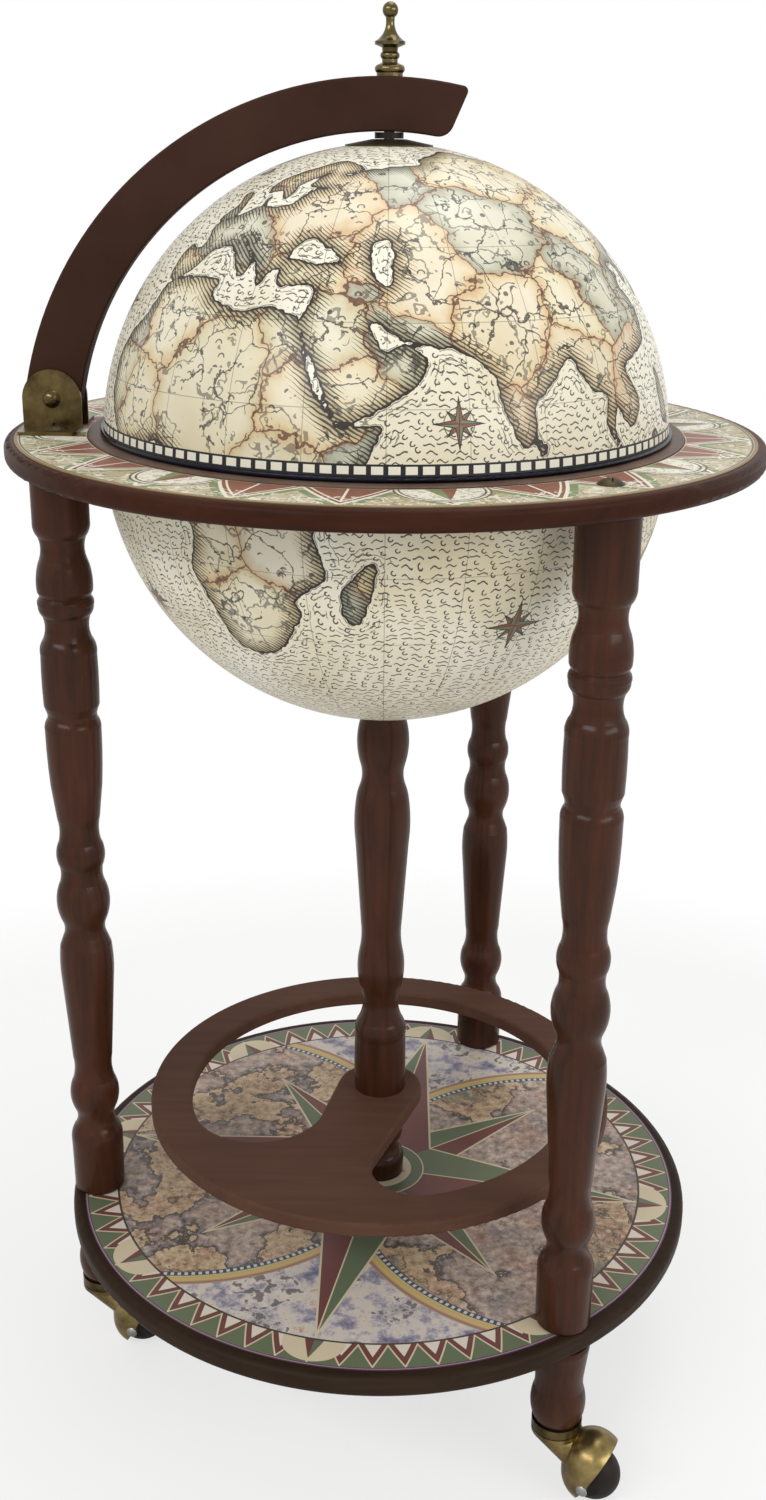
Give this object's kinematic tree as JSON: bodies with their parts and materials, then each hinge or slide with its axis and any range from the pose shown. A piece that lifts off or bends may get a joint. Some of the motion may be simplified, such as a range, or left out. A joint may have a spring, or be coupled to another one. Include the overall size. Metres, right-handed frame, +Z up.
{
  "type": "floor globe bar",
  "caption": "Drinks globe in a round table ring on turned legs, with a hinged turning dome, a base with bottle rail and hooded casters.",
  "frame": {"origin": "on the floor, under the globe's axis", "axes": "+Z up, the lid's hinge on the -X side, the front on the -Y side"},
  "size_m": [0.4499, 0.45, 0.8847],
  "materials": {
    "mahogany": "dark red-brown stain, satin lacquer",
    "arm_wood": "dark brown stain, satin lacquer",
    "antique_brass": "aged, low gloss",
    "steel": "zinc plated",
    "map_print": "printed map paper under gloss lacquer",
    "ring_paper": "printed paper under lacquer",
    "base_paper": "printed paper under lacquer",
    "navy_lip": "dark navy, gloss",
    "collar_brown": "brown, satin",
    "tray_wood": "brown stained board",
    "wheel_black": "dark brown-black",
    "dark_bush": "dark brown"
  },
  "bodies": {
    "stand": {"horizon_ring": "mahogany", "ring_print": "ring_paper", "lower_bowl": "map_print", "bowl_collar": "collar_brown", "bottle_tray": "tray_wood", "leg_left": "mahogany", "leg_right": "mahogany", "leg_rear": "mahogany", "leg_screws": "antique_brass", "leg_studs": "steel", "bracket_screw": "antique_brass", "hinge_bracket_front": "antique_brass", "hinge_bracket_rear": "antique_brass", "hinge_pin": "antique_brass", "center_column": "mahogany", "lower_spindle": "mahogany", "column_rod": "steel", "column_nut": "steel", "bowl_bolt": "steel", "bowl_washer": "steel", "gallery_shelf": "mahogany", "base_disc": "mahogany", "base_print": "base_paper", "foot_left": "mahogany", "foot_right": "mahogany", "foot_rear": "mahogany", "caster_cup_left": "antique_brass", "caster_stem_left": "steel", "caster_cup_right": "antique_brass", "caster_stem_right": "steel", "caster_cup_rear": "antique_brass", "caster_stem_rear": "steel"},
    "lid_arm": {"meridian_arm": "arm_wood", "finial": "antique_brass", "pivot_rod": "steel", "pivot_nut": "steel", "pole_bush": "dark_bush"},
    "dome": {"upper_dome": "map_print", "dome_lip": "navy_lip", "pole_cap": "antique_brass"},
    "caster_fork_left": {"caster_hood_left": "antique_brass", "caster_axle_left": "steel"},
    "caster_roller_left": {"caster_wheel_left": "wheel_black"},
    "caster_fork_right": {"caster_hood_right": "antique_brass", "caster_axle_right": "steel"},
    "caster_roller_right": {"caster_wheel_right": "wheel_black"},
    "caster_fork_rear": {"caster_hood_rear": "antique_brass", "caster_axle_rear": "steel"},
    "caster_roller_rear": {"caster_wheel_rear": "wheel_black"}
  },
  "joints": [
    {"name": "lid_hinge", "type": "hinge", "parent": "stand", "child": "lid_arm", "pos_m": [-0.19792, 0, 0.6674], "axis": [0, -1, 0], "range_deg": [0, 100]},
    {"name": "dome_spin", "type": "hinge", "parent": "lid_arm", "child": "dome", "pos_m": [0, 0, 0.643], "axis": [0, 0, 1], "continuous": true},
    {"name": "caster_swivel_left", "type": "hinge", "parent": "stand", "child": "caster_fork_left", "pos_m": [-0.19493, -0.02049, 0.044], "axis": [0, 0, 1], "continuous": true},
    {"name": "caster_roll_left", "type": "hinge", "parent": "caster_fork_left", "child": "caster_roller_left", "pos_m": [-0.16959, -0.02634, 0.018], "axis": [0.225, 0.9744, 0], "continuous": true},
    {"name": "caster_swivel_right", "type": "hinge", "parent": "stand", "child": "caster_fork_right", "pos_m": [0.11521, -0.15857, 0.044], "axis": [0, 0, 1], "continuous": true},
    {"name": "caster_roll_right", "type": "hinge", "parent": "caster_fork_right", "child": "caster_roller_right", "pos_m": [0.13837, -0.17037, 0.018], "axis": [0.454, 0.891, 0], "continuous": true},
    {"name": "caster_swivel_rear", "type": "hinge", "parent": "stand", "child": "caster_fork_rear", "pos_m": [0.07972, 0.17906, 0.044], "axis": [0, 0, 1], "continuous": true},
    {"name": "caster_roll_rear", "type": "hinge", "parent": "caster_fork_rear", "child": "caster_roller_rear", "pos_m": [0.10347, 0.16848, 0.018], "axis": [0.4067, 0.9135, 0], "continuous": true}
  ]
}
